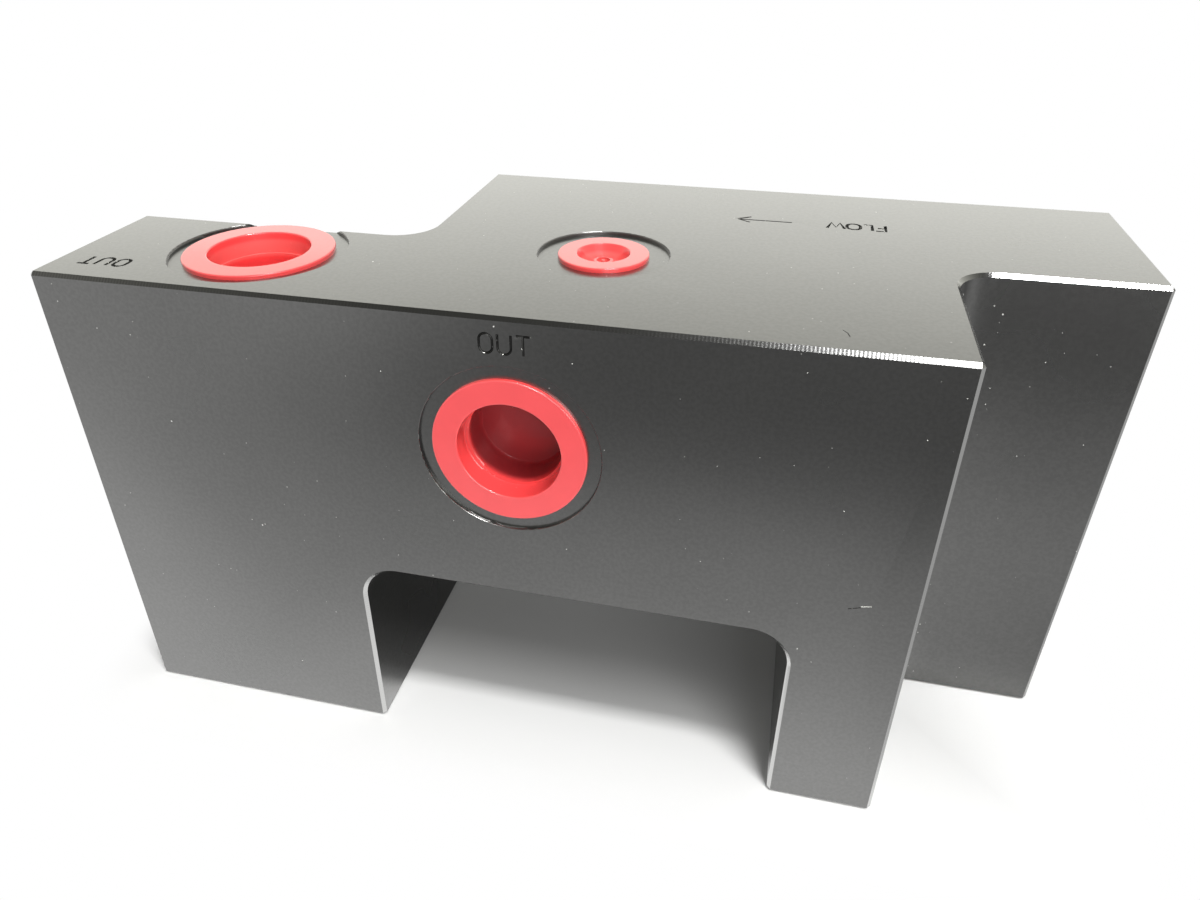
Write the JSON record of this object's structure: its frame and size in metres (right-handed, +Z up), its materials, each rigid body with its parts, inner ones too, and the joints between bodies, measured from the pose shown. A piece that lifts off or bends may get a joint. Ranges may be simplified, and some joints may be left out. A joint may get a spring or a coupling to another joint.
{
  "type": "hydraulic manifold block",
  "caption": "Drilled black anodised manifold block with stepped outline, arch between two feet and red shipping plugs in its ports.",
  "frame": {"origin": "middle of the block's underside, at the centre of its outer box", "axes": "+X along the block towards the inlet end, +Y from the front face to the back, +Z up"},
  "size_m": [0.2483, 0.1018, 0.1265],
  "materials": {
    "anodised_block": "black anodised, satin",
    "red_plastic": "moulded, slightly glossy",
    "plug_steel": "zinc plated",
    "seal_rubber": "nitrile rubber"
  },
  "bodies": {
    "root": {"manifold_block": "anodised_block", "front_out_plug": "red_plastic", "top_out_plug": "red_plastic", "inlet_plug": "red_plastic", "gauge_plug": "red_plastic", "gallery_plug": "plug_steel", "gallery_seal": "seal_rubber"}
  },
  "joints": []
}
